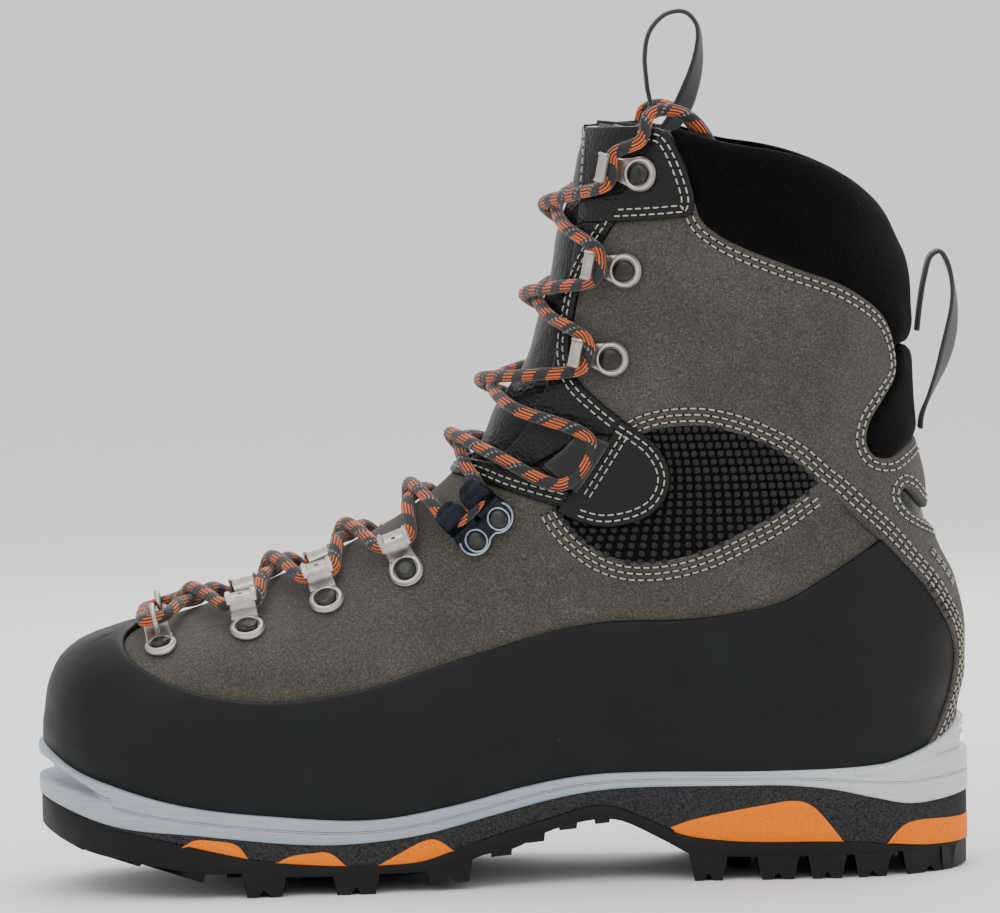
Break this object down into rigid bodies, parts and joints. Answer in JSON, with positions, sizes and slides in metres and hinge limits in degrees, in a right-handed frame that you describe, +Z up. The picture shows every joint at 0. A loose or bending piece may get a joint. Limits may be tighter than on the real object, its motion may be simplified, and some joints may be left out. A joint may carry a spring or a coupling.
{
  "type": "mountaineering boot",
  "caption": "Lace-up mountaineering boot with a suede upper, rubber rand, crampon frame, lugged sole, padded collar and tongue, lace hardware and pull loops.",
  "frame": {"origin": "on the ground, under the middle of the boot's outer box", "axes": "+X from toe to heel, +Y away from the boot's inner side, +Z up"},
  "size_m": [0.3147, 0.1139, 0.2915],
  "materials": {
    "frame": "satin silver-grey plastic",
    "steel": "satin",
    "midsole": "matt foam",
    "cushion": "matt orange foam",
    "outsole": "matt lugged rubber",
    "board": "matt fibreboard",
    "fleece": "soft pile",
    "leather": "smooth black",
    "suede": "rough-out suede",
    "mesh": "black mesh with small domes",
    "softshell": "matt stretch fabric",
    "plastic": "matt",
    "lining": "brushed fabric",
    "rand": "matt smooth rubber",
    "enamel": "dark blue-black enamel with worn edges",
    "lace": "braided black with orange dashes",
    "webbing": "woven tape"
  },
  "bodies": {
    "boot": {"crampon_frame": "frame", "shank": "steel", "midsole": "midsole", "cushion_1": "cushion", "cushion_2": "cushion", "cushion_3": "cushion", "cushion_4": "cushion", "cushion_5": "cushion", "outsole": "outsole", "insole_board": "board", "vamp": "suede", "cuff": "suede", "flex_panel_near": "mesh", "flex_panel_far": "mesh", "collar": "softshell", "achilles_flex": "softshell", "toe_puff": "plastic", "heel_counter": "plastic", "padding": "fleece", "lining": "lining", "rand": "rand", "heel_band": "suede", "heel_slot_trim": "plastic", "instep_band": "leather", "hook_patch_near": "leather", "facing_near": "leather", "ankle_patch_near": "leather", "hook_patch_far": "leather", "facing_far": "leather", "ankle_patch_far": "leather", "toe_clip_near": "steel", "loop_eyelet_1_near": "steel", "loop_eyelet_2_near": "steel", "loop_eyelet_3_near": "steel", "lock_hook_near": "enamel", "open_hook_1_near": "steel", "open_hook_2_near": "steel", "open_hook_3_near": "steel", "toe_clip_far": "steel", "loop_eyelet_1_far": "steel", "loop_eyelet_2_far": "steel", "loop_eyelet_3_far": "steel", "lock_hook_far": "enamel", "open_hook_1_far": "steel", "open_hook_2_far": "steel", "open_hook_3_far": "steel", "lace": "lace", "aglet_near": "plastic", "aglet_far": "plastic", "lace_keeper_near": "webbing", "lace_keeper_far": "webbing", "rear_pull_loop": "webbing"},
    "tongue_body": {"tongue": "leather"},
    "front_loop_body": {"front_pull_loop": "webbing"},
    "footbed_body": {"footbed": "fleece"}
  },
  "joints": [
    {"name": "tongue_fold", "type": "hinge", "parent": "boot", "child": "tongue_body", "pos_m": [-0.004, 0.002, 0.126], "axis": [0, 1, 0], "range_deg": [0, 8]},
    {"name": "front_loop_swing", "type": "hinge", "parent": "tongue_body", "child": "front_loop_body", "pos_m": [0.0388, 0.002, 0.226], "axis": [0, 1, 0], "range_deg": [0, 32]},
    {"name": "footbed_lift", "type": "slide", "parent": "boot", "child": "footbed_body", "axis": [0, 0, 1], "range_m": [0, 0.007]}
  ]
}
